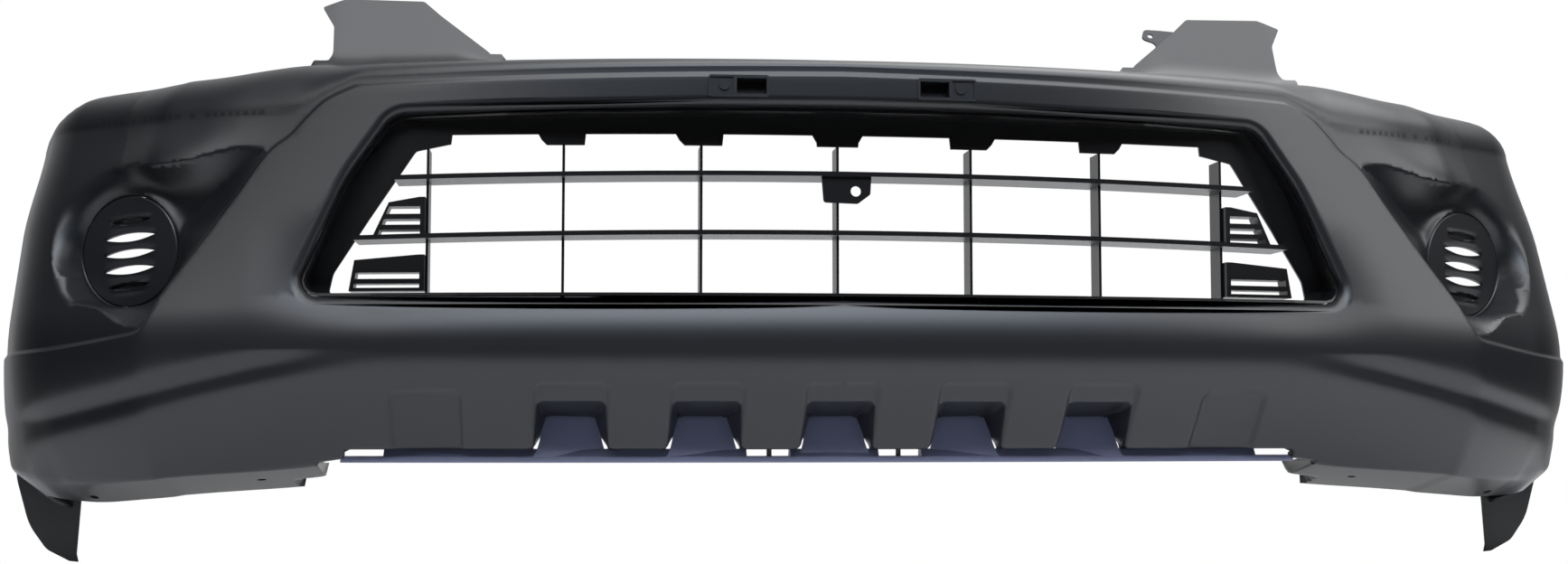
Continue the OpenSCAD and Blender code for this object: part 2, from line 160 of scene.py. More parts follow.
def roll_run(x):
    """How far back the roll goes."""
    return table(x, ((0, 34), (440, 44), (520, 70), (700, 70), (780, 34), (860, 26)))


def tuck(x, z, s):
    """How far the skin falls back under the foremost line, with the shallow groove on the corners."""
    d = np.maximum(0, RIDGE_Z - 1 - z)
    centre = np.where(d < 45, 0.0085 * d * d, 0.765 * d - 17.2) + 0.0016 * d * d
    side = 0.0026 * d * d * (1 - 0.7 * smooth(790, 900, s))
    dip = 5 * smooth(420, 560, x) * (1 - 0.7 * smooth(790, 880, s)) * np.exp(-(((z - groove_z(x)) / 12) ** 2))
    return mix(centre, side, smooth(380, 700, x)) + dip


def scoop_top(x):
    """Height of the upper edge of the hollow."""
    return table(x, ((540, 402), (569, 406), (593, 401), (625, 392), (662, 388), (760, 380)))


def brow(x, z):
    """Bulge of the skin above the hollow."""
    return -9 * np.exp(-(((x - 640) / 60) ** 2)) * (1 - smooth(0, 46, np.abs(z - scoop_top(x) - 6)))


# ---------------------------------------------------------------- outlines
def rounded(points, closed=True, steps=8):
    """Outline from (x, y, corner radius) points; the ends of an open one stay as they are."""
    out, n = [], len(points)
    for i in range(n):
        r = points[i][2]
        p = np.array(points[i][:2], float)
        if r == 0 or (not closed and i in (0, n - 1)):
            out.append(p)
            continue
        u = np.array(points[i - 1][:2], float) - p
        v = np.array(points[(i + 1) % n][:2], float) - p
        u, v = u / np.linalg.norm(u), v / np.linalg.norm(v)
        half = math.acos(np.clip(u @ v, -1, 1)) / 2
        c = p + (u + v) / np.linalg.norm(u + v) * r / math.sin(half)
        start, end = p + u * r / math.tan(half) - c, p + v * r / math.tan(half) - c
        a0 = math.atan2(start[1], start[0])
        turn = (math.atan2(end[1], end[0]) - a0 + math.pi) % (2 * math.pi) - math.pi
        for k in range(steps + 1):
            a = a0 + turn * k / steps
            out.append(c + r * np.array((math.cos(a), math.sin(a))))
    return np.array(out)


def mirrored(right):
    """Outline points of the right half, followed by those of the left half."""
    return list(right) + [(-x, z, r) for x, z, r in reversed(right)]


def resample(path, step):
    """The same path with points at most a step apart."""
    out = [path[0]]
    for a, b in zip(path[:-1], path[1:]):
        n = max(1, int(math.ceil(np.linalg.norm(b - a) / step)))
        out += [a + (b - a) * k / n for k in range(1, n + 1)]
    return np.array(out)


def shifted(path, d):
    """Open path moved to its left by d."""
    t = np.gradient(path, axis=0)
    t /= np.linalg.norm(t, axis=1)[:, None] + 1e-12
    return path + d * np.stack((-t[:, 1], t[:, 0]), 1)


def nearest(points, path):
    """Distance to an open path and the nearest point on it."""
    best = np.full(len(points), 1e9)
    where = np.zeros((len(points), 2))
    for a, b in zip(path[:-1], path[1:]):
        ab = b - a
        t = np.clip(((points - a) @ ab) / max(ab @ ab, 1e-12), 0, 1)
        q = a + t[:, None] * ab
        d = np.hypot(*(points - q).T)
        closer = d < best
        best[closer], where[closer] = d[closer], q[closer]
    return best, where


def closed(loop):
    """The loop with its first point repeated at the end."""
    return np.vstack((loop, loop[:1]))


def inside(points, loop):
    """Even-odd test of points against a closed loop."""
    x, y = points[:, 0], points[:, 1]
    odd = np.zeros(len(points), bool)
    for (x0, y0), (x1, y1) in zip(loop, np.roll(loop, -1, axis=0)):
        if y0 != y1:
            cross = ((y0 > y) != (y1 > y)) & (x < (x1 - x0) * (y - y0) / (y1 - y0) + x0)
            odd ^= cross
    return odd


# ---------------------------------------------------------------- the skin as a surface over (s, v)
# s runs along the plan curve; v is the height on the front, then the way over the roll, the shelf
# and up a horn, and below the bottom edge the way in along the flange.
NOTCH_PITCH = 126.5
LIP_CURVE = 1.75e-4
LOW_END = 507.0  # s where the toothed edge ends and the flange starts
EDGE = 4.0  # width in (s, v) of the bands that become return walls
OPEN_R = 11.0  # edge radius round the grille opening
OPEN_DEPTH = 24.0  # from the face to the back of the opening's return wall
TOOTH_R = 2.5  # edge radius of the teeth and pockets
PAD_DEPTH = 5.2
PAD_BLEND = 6.5
FOLD = 5.0  # half width in v of the rounded fold into the flange
HORN_AT = (115, 519)  # (y, z) on the face of a horn, which stands at 60 degrees
HORN_COS, HORN_SIN = 0.5, 0.866
SHELF_SLOPE = 0.2
WHEEL_AT = (581, 133)  # (y, z) of the wheel arch centre
ARCH_R = 375
CORNER_BACK = 359  # y where the corner ends above the arch
FLANGE_HOLES = ((552, 72), (719, 112))
FLANGE_HOLE_R = 4.5
FOG_AT = np.array((685.0, 82.0, 309.0))
FOG_TURN = math.radians(24.5)
FOG_OUT = np.array((math.sin(FOG_TURN), -math.cos(FOG_TURN), 0))
FOG_X = np.array((math.cos(FOG_TURN), math.sin(FOG_TURN), 0))
# outer rim of the hollow: angle in degrees round the lamp, and radius
FOG_RIM = ((-40, 62), (-20, 66), (0, 73), (15, 81), (35, 92), (50, 91), (70, 85), (90, 82), (104, 85))
FOG_EDGE = 57.0  # radius where the hollow meets the face of the lamp
FOG_BORE = 55
FOG_FLOOR = -1.5  # how far the seat of the blank lies outward of the lamp centre
BLANK_R = 54.6
OPENING = rounded(mirrored(((513, 259, 16), (466, 372, 160), (424, 433, 26), (120, 437, 0))))
OPENING_RIGHT = np.vstack(((0, 259), OPENING[:28], (0, 437.3)))


def lower_edge():
    """Lower edge of the skin from the centre to the start of the flange: five pockets and the teeth."""
    pts = [(0, 161, 0), (31, 161, 5), (34, 116, 7)]
    for i in (1, 2):
        c = i * NOTCH_PITCH
        pts += [(c - 34, 116, 7), (c - 31, 161, 5), (c + 31, 161, 5), (c + 34, 116, 7)]
    pts += [(467, 116, 0), (469, 107, 2), (489, 104, 0), (LOW_END, 101, 0)]
    return resample(rounded(pts, closed=False), 5)


LOWER = lower_edge()


def pad_outline(c, w, top, low):
    """Pad centred on c, with rounded upper corners; its lower end is past the bottom edge."""
    return rounded(((c - w, low, 0), (c + w, low, 0), (c + w, top, 12), (c - w, top, 12)))


PADS = [pad_outline(i * NOTCH_PITCH, 37.5, 181, 80) for i in range(3)] + [pad_outline(388, 36, 174, 80)]


def roll_length(x):
    """Length in v of the way over the roll."""
    return math.pi / 2 * np.sqrt((roll_run(x) ** 2 + (top_z(x) - roll_z(x)) ** 2) / 2)


def flange_way(s, x, y):
    """Inward, back and down parts of the bottom flange at s, and its length."""
    foot = tuck(x, bottom_z(s), s)
    hook = smooth(850, 930, s)
    wide = s > LOW_END
    n = np.where(wide, 22 * smooth(700, 850, s) + 38 * hook, 14)
    b = np.where(wide, np.maximum(0, 130 - y - foot) * (1 - smooth(780, 850, s)), 0)
    down = np.where(wide, -20 - 25 * hook, 0)
    return n, b, down, np.sqrt(n * n + b * b + down * down)


def bend(p0, p1, p2, t):
    """Point on the rounded corner p0-p1-p2."""
    return (1 - t) ** 2 * p0 + 2 * t * (1 - t) * p1 + t * t * p2


def sill(x, z):
    """How far the face under the grille opening rolls back towards the opening."""
    d = np.clip(z - RIDGE_Z - 4, 0, 45)
    return 0.0066 * d * d * (1 - smooth(430, 560, x)) * (1 - smooth(265, 345, z))


def flare(s, z):
    """How far the side swells above the crease, towards the wheel arch."""
    return 10 * smooth(760, 850, s) * (1 - smooth(900, 990, s)) * (1 - smooth(330, 440, z))


def wall(s, x, z):
    """Inward and back distance of the front at height z, before edges and pockets."""
    n = np.where(z < RIDGE_Z, tuck(x, z, s), 0)
    c = crease_z(x)
    above = STEP_IN + 3 * smooth(940, 1000, s) + brow(x, z) - flare(s, z)
    below = -5 * smooth(660, 780, x) - 5 * smooth(780, 860, s) * (1 - smooth(900, 960, s))
    n = n + mix(below, above, smooth(c - 3, c + 3, z))
    up = np.maximum(0, z - RIDGE_Z)
    up = np.where(up < 40, up * up / 80, up - 20)
    return n, lean(x) * up + sill(x, z)


def fold_under(s, v, x, y, front):
    """Inward, back and height of the front, with the bottom fold and the flange put in their place."""
    n, back, z = front
    zb = bottom_z(s)
    fn, fb, fd, fl = flange_way(s, x, y)
    corner = s > LOW_END
    w = np.where(corner, np.maximum(0, zb - v), 0)
    nb, _ = wall(s, x, zb)
    nu, _ = wall(s, x, zb + FOLD)
    t = np.clip((v - zb + FOLD) / (2 * FOLD), 0, 1)
    near = corner & (np.abs(v - zb) < FOLD)
    under = corner & (v < zb)
    n = np.where(near, bend(nb + fn * FOLD / fl, nb, nu, t), np.where(under, nb + fn * w / fl, n))
    back = np.where(near, bend(fb * FOLD / fl, 0, 0, t), np.where(under, fb * w / fl, back))
    z = np.where(near, bend(zb + fd * FOLD / fl, zb, zb + FOLD, t), np.where(under, zb + fd * w / fl, z))
    return n, back, z


def shelf_and_horn(x, y_roll, z_roll, q):
    """Way back and up at distance q behind the roll: the shelf, then the face of a horn where they meet."""
    slope = mix(SHELF_SLOPE, -0.03, smooth(505, 540, x))
    steep = HORN_SIN / HORN_COS
    y_meet = (z_roll - SHELF_SLOPE * y_roll - HORN_AT[1] + steep * HORN_AT[0]) / (steep - SHELF_SLOPE)
    q_meet = np.where((x > 330) & (x < 530), y_meet - y_roll, 1e6)
    f = mix(1, 24, smooth(335, 380, x))
    up = q - q_meet
    t = np.clip((up + f) / (2 * f), 0, 1)
    turning = np.abs(up) < f
    foot = slope * q_meet
    q_back = np.where(up > 0, q_meet + HORN_COS * up, q)
    q_back = np.where(turning, bend(q_meet - f, q_meet, q_meet + HORN_COS * f, t), q_back)
    q_up = np.where(up > 0, foot + HORN_SIN * up, slope * q)
    q_up = np.where(turning, bend(foot - slope * f, foot, foot + HORN_SIN * f, t), q_up)
    return q_back, q_up


def base_point(s, v):
    """Point of the skin at (s, v), before the edges, pads, pockets and hollow."""
    x, y, h = plan(s)
    zt = roll_z(x)
    z = np.clip(v, bottom_z(s), zt)
    n, back, z = fold_under(s, v, x, y, (*wall(s, x, z), z))
    rise, length = top_z(x) - zt, roll_length(x)
    a = np.clip((v - zt) / length, 0, 1) * math.pi / 2
    n = n + roll_run(x) * (1 - np.cos(a))
    z = z + rise * np.sin(a)
    q = np.maximum(0, v - zt - length)
    q_back, q_up = shelf_and_horn(x, y + np.cos(h) * n + back, zt + rise, q)
    return np.stack((x - np.sin(h) * n, y + np.cos(h) * n + back + q_back, z + q_up), 1)


def edge_drop(d, r):
    """Quarter round edge: how far the surface has turned in at distance d from the edge."""
    e = np.clip(r - d, 0, r)
    return r - np.sqrt(r * r - e * e)


def fog_local(p):
    """Across, up and outward distance of points from the centre of the fog lamp."""
    rel = p - FOG_AT
    return rel @ FOG_X, rel[:, 2], rel @ FOG_OUT


def cut_opening(p, flat):
    """Grille opening: a rounded edge, then a wall straight back. Changes the points p in place."""
    d, q = nearest(flat, OPENING_RIGHT)
    d = np.where(inside(flat, OPENING), -d, d)
    hole = d < 0
    depth = OPEN_DEPTH - OPEN_R - sill(q[:, 0], q[:, 1])
    p[:, 1] += edge_drop(d, OPEN_R) + np.where(hole, -d / EDGE * depth, 0)
    p[:, 0] = np.where(hole, q[:, 0], p[:, 0])
    p[:, 2] = np.where(hole, q[:, 1], p[:, 2])


def press_pads(p, flat):
    """Pads pressed into the lower band."""
    for pad in PADS:
        d, _ = nearest(flat, closed(pad))
        d = np.where(inside(flat, pad), d, 0)
        p[:, 1] += PAD_DEPTH * smooth(0, PAD_BLEND, d)


def cut_pockets(p, flat):
    """Teeth with a short return, and pockets whose walls run back to the guide's ramps."""
    d, q = nearest(flat, LOWER)
    above = inside(flat, np.vstack((LOWER, (600, 300), (-1, 300), (-1, 161))))
    d = np.where(above, d, -d)
    cut = d < 0
    f = np.clip(-d / EDGE, 0, 1)
    in_notch = smooth(117, 128, q[:, 1])
    centre = np.round(q[:, 0] / NOTCH_PITCH) * NOTCH_PITCH
    level = np.clip((q[:, 1] - 112) / 40, 0, 1)
    depth = mix(14, 15 * level - 9 + LIP_CURVE * q[:, 0] ** 2 - p[:, 1], in_notch)
    p[:, 1] += np.minimum(TOOTH_R, edge_drop(d, TOOTH_R)) + np.where(cut, f * depth, 0)
    p[:, 0] = np.where(cut, q[:, 0] - (q[:, 0] - centre) * 0.33 * level * f * in_notch, p[:, 0])
    p[:, 2] = np.where(cut, q[:, 1] - 14 * f * smooth(150, 160, q[:, 1]), p[:, 2])


def sink_hollow(p, sv):
    """Hollow that sinks from the crease, the brow and the outer rim to the face of the fog lamp."""
    d_out, _ = nearest(sv, HOLLOW)
    within = inside(sv, HOLLOW)
    lx, ly, lz = fog_local(p)
    rho, ang = np.hypot(lx, ly), np.degrees(np.arctan2(ly, lx))
    d_in = np.maximum(0, rho - FOG_EDGE)
    t = np.where(within, d_in / np.maximum(d_in + d_out, 1e-6), 1)
    outer = smooth(165, 50, ang) * smooth(-140, -100, ang)
    ditch = 12 * smooth(60, 135, ang) * smooth(175, 150, ang) * 4 * t * (1 - t)
    sunk = lz * mix(t ** 1.5, 1 - (1 - t) ** 2, outer) - ditch
    sunk = np.where(rho < FOG_EDGE, FOG_FLOOR * smooth(FOG_EDGE, FOG_EDGE - 1.5, rho), sunk)
    sunk = np.where(rho < FOG_BORE, FOG_FLOOR - (FOG_BORE - rho) * 2.4, sunk)
    rad = np.where(rho < FOG_BORE, FOG_BORE, rho)
    a = np.radians(ang)
    moved = (FOG_AT + np.outer(rad * np.cos(a), FOG_X) + np.outer(rad * np.sin(a), (0, 0, 1))
             + np.outer(sunk, FOG_OUT))
    p[within] = moved[within]


def skin_point(s, v):
    """Finished outer surface of the skin at (s, v)."""
    p = base_point(s, v)
    s, v = np.asarray(s, float), np.asarray(v, float)
    front = (v < roll_z(plan(s)[0])) & (v > 90)
    flat = p[:, (0, 2)].copy()
    banded = flat.copy()
    low = (s <= LOW_END) & (v < 190)
    banded[low, 1] = v[low]
    opening = front & (np.abs(flat[:, 0]) < 530) & (flat[:, 1] > 245) & (flat[:, 1] < 450)
    hollow = front & (s > 520) & (s < 830) & (v > 200) & (v < 420)
    zones = ((opening, flat, cut_opening),
             (low, banded, press_pads),
             (low, banded, cut_pockets),
             (hollow, np.stack((s, v), 1), sink_hollow))
    for zone, where, shape in zones:
        if zone.any():
            part = p[zone]
            shape(part, where[zone])
            p[zone] = part
    return p


def s_of(x, z):
    """Distance along the curve of a point seen at x and height z on the front."""
    s = np.interp(x, X_FINE, S_FINE)
    for _ in range(4):
        x0, _, h = plan(s)
        n, _ = wall(s, x0, np.maximum(z, bottom_z(s)))
        s = np.interp(x + np.sin(h) * n, X_FINE, S_FINE)
    return s


def on_front(path):
    """The (s, v) path of an (x, z) path seen on the front."""
    return np.stack((s_of(path[:, 0], path[:, 1]), path[:, 1]), 1)


def locate(target, guess, measure):
    """(s, v) of points whose measure(base point) is the target, by Newton steps."""
    sv = np.array(guess, float)
    for _ in range(8):
        m = measure(base_point(sv[:, 0], sv[:, 1]))
        ds = (measure(base_point(sv[:, 0] + 0.5, sv[:, 1])) - m) * 2
        dv = (measure(base_point(sv[:, 0], sv[:, 1] + 0.5)) - m) * 2
        det = ds[:, 0] * dv[:, 1] - ds[:, 1] * dv[:, 0]
        e = target - m
        sv[:, 0] += (e[:, 0] * dv[:, 1] - e[:, 1] * dv[:, 0]) / det
        sv[:, 1] += (ds[:, 0] * e[:, 1] - ds[:, 1] * e[:, 0]) / det
    return sv


def fog_arc(ang, radius):
    """(s, v) points at angles in degrees and radii round the fog lamp axis."""
    a = np.radians(ang)
    target = np.stack((radius * np.cos(a), radius * np.sin(a)), 1)
    guess = np.stack((s_of(690.0, 309.0) + target[:, 0], 309 + target[:, 1]), 1)
    return locate(target, guess, lambda p: np.stack(fog_local(p)[:2], 1))


def fog_ring(radius, n=72):
    """Closed (s, v) loop at one radius, without its repeated end point."""
    return fog_arc(np.linspace(-180, 180, n, endpoint=False), float(radius))


def hollow_outline():
    """Edge of the hollow in (s, v): the crease, the rim round the outer side, and the brow to the tip."""
    x = np.linspace(545, 650, 22)
    crease = np.stack((np.interp(x, X_FINE, S_FINE), crease_z(x) + 3), 1)
    x = np.linspace(657, 704, 8)
    low = table(x, ((650, 233), (670, 232), (688, 240), (706, 252)))
    foot = np.stack((np.interp(x, X_FINE, S_FINE), low), 1)
    ang = np.linspace(-60, 104, 55)
    rim = fog_arc(ang, table(ang, FOG_RIM))
    x = np.linspace(655, 549, 20)
    top = np.stack((np.interp(x, X_FINE, S_FINE), scoop_top(x)), 1)
    return np.vstack((crease, foot, rim, top, crease[:1]))


HOLLOW = hollow_outline()


# ---------------------------------------------------------------- meshes
def tied(lines, wrap):
    """All points of the lines, and the index pairs that tie each line together."""
    ties, start = [], 0
    for line in lines:
        n = len(line)
        ties += [(start + i, start + (i + 1) % n) for i in range(n if wrap else n - 1)]
        start += n
    return np.vstack(lines), ties


def rim_edges(tri):
    """Directed edges that only one triangle has."""
    found = {}
    for f in tri:
        for i in range(3):
            found.setdefault(tuple(sorted((f[i - 1], f[i]))), []).append((f[i - 1], f[i]))
    return [edges[0] for edges in found.values() if len(edges) == 1]


def add_mesh(name, verts, faces, normals=None):
    """Smooth shaded object from points in millimetres."""
    me = bpy.data.meshes.new(name)
    me.from_pydata([tuple(p) for p in to_car(verts)], [], [tuple(int(i) for i in f) for f in faces])
    me.polygons.foreach_set("use_smooth", [True] * len(me.polygons))
    if normals is not None:
        me.normals_split_custom_set_from_vertices([tuple(n) for n in normals])
    me.update()
    obj = bpy.data.objects.new(name, me)
    bpy.context.collection.objects.link(obj)
    return obj


V_REAR = np.linspace(480, 760, 560)


def shelf_edge(s):
    """v of the rear edge of the shelf."""
    x = plan(np.array(s, float))[0]
    return roll_z(x) + roll_length(x) + 28


def middle_edge(s):
    """v of the rear edge between the horns, in line with the foot of their faces."""
    return np.interp(HORN_AT[0], base_point(np.full_like(V_REAR, s), V_REAR)[:, 1], V_REAR)


def horn_edge():
    """Outline of the horn that stands on the rear edge, from its outer foot to its inner one."""
    horn = rounded(((520, -52, 0), (504, -4, 30), (506, 34, 16), (519, 60, 2), (496, 71, 8),
                    (413, 70, 6), (394, 50, 20), (345, 4, 20), (310, -26, 0)), closed=False)
    out = []
    for x, height in resample(horn, 5):
        s = 520.0
        for _ in range(12):
            s += x - base_point(np.array([s]), np.array([500.0]))[0, 0]
        p = base_point(np.full_like(V_REAR, s), V_REAR)
        along = (p[:, 1] - HORN_AT[0]) * HORN_COS + (p[:, 2] - HORN_AT[1]) * HORN_SIN
        v = np.interp(height, along, V_REAR)
        if v > (shelf_edge(s) if s > 440 else middle_edge(s)) + 1:
            out.append((s, v))
    return out


def arch_edge():
    """Wheel arch and rear end of the corner, from the flange up to the shelf."""
    s = np.linspace(880, S_END, 600)
    out = []
    for v in np.concatenate((np.linspace(104, 424, 60), np.linspace(428, 485, 14))):
        p = base_point(s, np.full_like(s, v))
        dz = p[:, 2] - WHEEL_AT[1]
        limit = WHEEL_AT[0] - np.sqrt(np.maximum(0, ARCH_R ** 2 - dz ** 2))
        out.append((np.interp(0, p[:, 1] - np.minimum(limit, CORNER_BACK), s), v))
    return np.array(out)


def toothed_edge():
    """Far edge of the return wall under the pockets and teeth."""
    band = on_front(shifted(LOWER, -EDGE))
    band = band[band[:, 0] < LOW_END - 1]
    band[0, 0] = 0
    return np.vstack((band, (LOW_END - 0.2, band[-1, 1])))


def flange_edge():
    """Far edge of the flange, from its inner end to the wheel arch."""
    s = np.append(np.linspace(LOW_END + 0.2, 760, 40), np.linspace(764, 940, 50))
    x, y, _ = plan(s)
    return np.stack((s, bottom_z(s) - flange_way(s, x, y)[3]), 1)


def skin_outline():
    """Outer loop of the right half in (s, v); the grille opening joins it at the centre line."""
    arch, horn = arch_edge(), horn_edge()
    s = np.linspace(arch[-1, 0], horn[0][0] + 3, 80)
    top = np.stack((s, shelf_edge(s)), 1)
    back = [(s, middle_edge(s)) for s in np.linspace(horn[-1][0] - 3, 0, 60)]
    hole = on_front(shifted(OPENING_RIGHT, EDGE))
    hole[0], hole[-1] = (0, 259 + EDGE), (0, 437.3 - EDGE)
    return np.vstack((toothed_edge(), flange_edge(), arch, top[1:], horn, back, hole[::-1]))


def feature_lines():
    """Lines in (s, v) that the mesh follows: folds, edges, pads, pockets, lamp rings and the hollow."""
    s = np.linspace(0, S_END, 340)
    x = plan(s)[0]
    zt, zb, c, g = roll_z(x), bottom_z(s), crease_z(x), groove_z(x)
    length = roll_length(x)
    lines = [np.stack((s, v), 1) for v in (c - 3, c - 1, c + 1, c + 3, zt, zt + length, zt + length / 3,
                                           zt + 2 * length / 3)]
    lines += [np.stack((s, v), 1)[s > 470] for v in (zb, zb - FOLD, zb + FOLD, zb - FOLD / 2, zb + FOLD / 2)]
    lines += [np.stack((s, v), 1)[s > 545] for v in (g - 8, g, g + 8)]
    for d in (0, -EDGE / 2, 1, 2.5, 5, 8, OPEN_R):
        lines.append(on_front(shifted(OPENING_RIGHT, -d)))
    for d in (0, -EDGE / 2, 1.2, TOOTH_R):
        lines.append(on_front(shifted(LOWER, d)))
    for pad in PADS:
        loop = resample(closed(pad), 6)
        loop = loop[loop[:, 0] > -0.1]
        for d in (0, 2.2, 4.3, PAD_BLEND):
            q = shifted(loop, d)
            q = q[(q[:, 0] >= 0) & (q[:, 1] > 117)]
            lines.append(on_front(q))
    for r in (FOG_EDGE + 2.5, FOG_EDGE, FOG_BORE + 1, FOG_BORE, FOG_BORE - 2.5):
        lines.append(closed(fog_ring(r)))
    lines.append(HOLLOW)
    return lines


def rim_holes():
    """Plain holes through the skin, as closed loops in (s, v)."""
    ang = np.linspace(0, 2 * math.pi, 28, endpoint=False)
    holes = []
    for x, y in FLANGE_HOLES:
        ring = np.stack((x + FLANGE_HOLE_R * np.cos(ang), y + FLANGE_HOLE_R * np.sin(ang)), 1)
        # start a little way out along the curve from the hole
        s0 = float(s_of(np.array([float(x)]), np.array([90.0]))[0]) + (18 if x > 600 else 8)
        holes.append(locate(ring, np.tile((s0, bottom_z(s0) - 55.0), (28, 1)), lambda p: p[:, :2]))
    # the licence plate socket's window
    window = np.array(((72.5, 447.5), (125.5, 447.5), (125.5, 464.5), (72.5, 464.5)))
    holes.append(on_front(window))
    return holes


def even_points(step, fine):
    """Staggered grid over (s, v), either in the closely curved zones or outside them."""
    gs, gv = np.meshgrid(np.arange(0, S_END, step), np.arange(-90, 640, step * 0.87))
    gs[::2] += step / 2
    s, v = gs.ravel(), gv.ravel()
    x = plan(s)[0]
    close = ((s > 530) & (s < 800) & (v > 205) & (v < 425)) | ((s > 420) & (np.abs(v - groove_z(x)) < 22))
    keep = close if fine else ~close
    return np.stack((s[keep], v[keep]), 1)


def clear_points(points, fixed, gap=2.0, cell=6):
    """The points that are more than a gap from every fixed point, found through a grid of cells."""
    homes = {}
    for k, (a, b) in enumerate(fixed):
        homes.setdefault((int(a // cell), int(b // cell)), []).append(k)
    keep = []
    for a, b in points:
        col, row = int(a // cell), int(b // cell)
        near = [k for i in (-1, 0, 1) for j in (-1, 0, 1) for k in homes.get((col + i, row + j), ())]
        keep.append(not near or np.min(np.hypot(*(fixed[near] - (a, b)).T)) > gap)
    return points[np.array(keep)]


def skin_grid():
    """Points in (s, v) and triangles of the right half."""
    loop = skin_outline()
    holes = rim_holes() + [fog_ring(50)]
    fixed, ties = tied(feature_lines() + [closed(h) for h in holes + [loop]], wrap=False)
    fill = np.vstack((even_points(8.0, fine=False), even_points(3.6, fine=True)))
    fill = clear_points(fill[inside(fill, loop)], fixed)
    out = delaunay_2d_cdt([Vector(q) for q in np.vstack((fixed, fill))], ties, [], 0, 1e-3)
    sv = np.array([tuple(q) for q in out[0]])
    tri = np.array([f for f in out[2] if len(f) == 3])
    mid = sv[tri].mean(axis=1)
    keep = inside(mid, loop)
    for hole in holes:
        keep &= ~inside(mid, hole)
    used, tri = np.unique(tri[keep], return_inverse=True)
    return sv[used], tri.reshape(-1, 3)


def skin_normals(s, v, e=0.35):
    """Unit outward normals, from points a little to each side."""
    n = np.cross(skin_point(s + e, v) - skin_point(np.maximum(s - e, 0), v),
                 skin_point(s, v + e) - skin_point(s, v - e))
    return n / (np.linalg.norm(n, axis=1)[:, None] + 1e-12)


def build_skin():
    """Both halves of the skin, with their inner face and the rims between."""
    sv, tri = skin_grid()
    s, v = sv[:, 0], sv[:, 1]
    p, n = skin_point(s, v), skin_normals(s, v)
    seam = s < 1e-6
    p[seam, 0] = 0
    n[seam, 0] = 0
    a, b, c = (p[tri[:, k]] for k in range(3))
    flip = np.einsum("ij,ij->i", np.cross(b - a, c - a), n[tri].mean(axis=1)) < 0
    tri[flip] = tri[flip][:, ::-1]
    k = len(p)
    outer_p = np.vstack((p, p * (-1, 1, 1)))
    outer_n = np.vstack((n, n * (-1, 1, 1)))
    outer_t = np.vstack((tri, (tri + k)[:, ::-1]))
    inner_p = outer_p - SKIN_T * outer_n
    rim = [(a, b) for a, b in rim_edges(tri) if not (seam[a] and seam[b])]
    rim = np.array(rim + [(b + k, a + k) for a, b in rim])
    start, end = rim.T
    rim_p = np.vstack((outer_p[start], outer_p[end], inner_p[end], inner_p[start]))
    rim_n = np.cross(outer_p[end] - outer_p[start], outer_n[start])
    rim_n /= np.linalg.norm(rim_n, axis=1)[:, None] + 1e-12
    m, r = len(outer_p), len(rim)
    base = 2 * m + np.arange(r)
    quads = np.stack((base + r, base, base + 3 * r, base + 2 * r), 1)
    faces = list(outer_t) + list(outer_t[:, ::-1] + m) + list(quads)
    verts = np.vstack((outer_p, inner_p, rim_p))
    normals = np.vstack((outer_n, -outer_n, np.tile(rim_n, (4, 1))))
    return add_mesh("skin", verts, faces, normals)


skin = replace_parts(build_skin(), "skin_upper", "skin_lower", "skin_corner_left", "skin_corner_right")
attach(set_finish(skin, "cover"), "cover")


def plate(name, outline, place, thickness, bevel):
    """Flat plate with a bevelled rim: an outline in (x, y), extruded along z and then put in place."""
    bm = bmesh.new()
    ring = [bm.verts.new((x, y, 0)) for x, y in outline]
    face = bm.faces.new(ring)
    more = bmesh.ops.extrude_face_region(bm, geom=[face])["geom"]
    lifted = [g for g in more if isinstance(g, bmesh.types.BMVert)]
    bmesh.ops.translate(bm, verts=lifted, vec=(0, 0, thickness))
    bmesh.ops.recalc_face_normals(bm, faces=bm.faces)
    bmesh.ops.transform(bm, matrix=place, verts=bm.verts)
    if place.determinant() < 0:
        bmesh.ops.reverse_faces(bm, faces=bm.faces)
    for v in bm.verts:
        v.co = Vector(to_car(v.co))
    me = bpy.data.meshes.new(name)
    bm.to_mesh(me)
    bm.free()
    obj = bpy.data.objects.new(name, me)
    bpy.context.collection.objects.link(obj)
    cut = obj.modifiers.new("rim", "BEVEL")
    cut.width = bevel / 1000
    cut.segments = 2
    cut.limit_method = "ANGLE"
    me.polygons.foreach_set("use_smooth", [True] * len(me.polygons))
    obj.modifiers.new("shade", "WEIGHTED_NORMAL").keep_sharp = True
    return obj


def side_matrix(side):
    return Matrix.Diagonal((side, 1, 1, 1))


SIDES = (("left", -1), ("right", 1))
# (x, z, corner radius) points of the plate behind the corner
SPAT = ((748, 112, 0), (754, 8, 4), (752, 0, 0), (761, 1, 2), (784, 13, 20), (802, 38, 60), (815, 84, 60),
        (818, 118, 0))
for side, sign in SIDES:
    stand = Matrix.Translation((0, 193, 0)) @ Matrix.Rotation(math.pi / 2, 4, "X")
    spat = plate(f"spat_{side}", rounded(SPAT, steps=5), side_matrix(sign) @ stand, 3, 0.8)
    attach(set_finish(spat, "cover"), "cover")


# ---------------------------------------------------------------- lower air guide
def lip_y(x):
    """Y of the front of the guide, which follows the bow of the teeth."""
    return -12 + LIP_CURVE * x * x


def ledge_section(x):
    """Closed (y, z) section of the guide's lip: hem, ledge and a flat sole; the ledge is low in the slots."""
    open_slot = 43 < abs(x) < 85 or abs(x) > 431
    top = 109.6 if open_slot else 116.5
    return np.array(((40, 106), (3.2, 106), (3.0, 103.8), (2.4, 103.3), (0.8, 103.3), (0.2, 103.8), (0, 105),
                     (0, 108), (0.4, 109), (1.2, mix(109.3, top, 0.05)), (5.5, mix(109.5, top, 0.88)),
                     (7, top), (19.5, top), (20.5, top - 0.5), (20.6, 109), (40, 109)))


